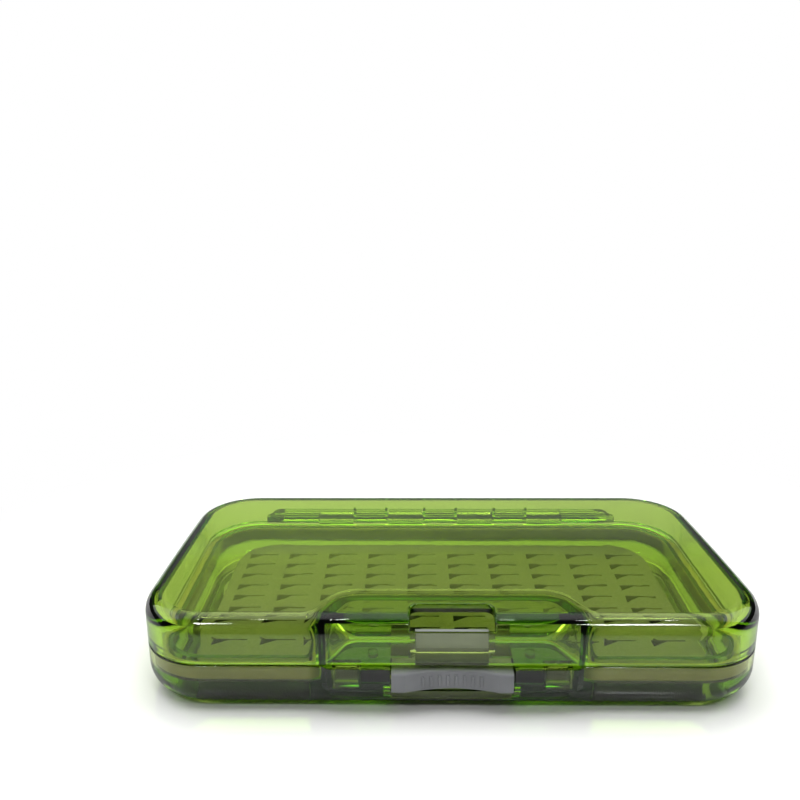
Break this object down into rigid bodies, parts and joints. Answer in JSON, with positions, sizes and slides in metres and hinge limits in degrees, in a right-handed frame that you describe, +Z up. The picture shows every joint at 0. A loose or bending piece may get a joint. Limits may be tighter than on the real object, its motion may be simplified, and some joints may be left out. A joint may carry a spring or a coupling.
{
  "type": "fly box",
  "caption": "Clear green hinged box for fishing flies: slit foam tray, silicone-sealed rim, knuckle hinge with steel pin and a sprung press latch.",
  "frame": {"origin": "centre of the base's flat underside, under the middle of the shell without hinge and latch", "axes": "+X along the hinge (right when seen from the latch), +Y to the hinge, +Z up; the lid is closed"},
  "size_m": [0.15, 0.0863, 0.0246],
  "materials": {
    "clear_green": "polished clear tinted moulding",
    "tan_silicone": "satin silicone",
    "grey_foam": "fine closed-cell foam",
    "adhesive_film": "double-sided film",
    "steel": "drawn wire",
    "grey_plastic": "satin moulding"
  },
  "bodies": {
    "base": {"base_shell": "clear_green", "seal_gasket": "tan_silicone", "slit_foam": "grey_foam", "foam_adhesive": "adhesive_film", "hinge_pin": "steel", "latch_spring_left": "steel", "latch_spring_right": "steel"},
    "lid": {"lid_shell": "clear_green"},
    "latch": {"latch_button": "grey_plastic"}
  },
  "joints": [
    {"name": "lid_hinge", "type": "hinge", "parent": "base", "child": "lid", "pos_m": [0, 0.0435, 0.0125], "axis": [-1, 0, 0], "range_deg": [0, 180]},
    {"name": "latch_press", "type": "hinge", "parent": "base", "child": "latch", "pos_m": [0, -0.0346, 0.0048], "axis": [-1, 0, 0], "range_deg": [0, 8], "stiffness_Nm_per_rad": 0.06, "springref_deg": -5.73, "deforming": ["latch_spring_left", "latch_spring_right"]}
  ]
}
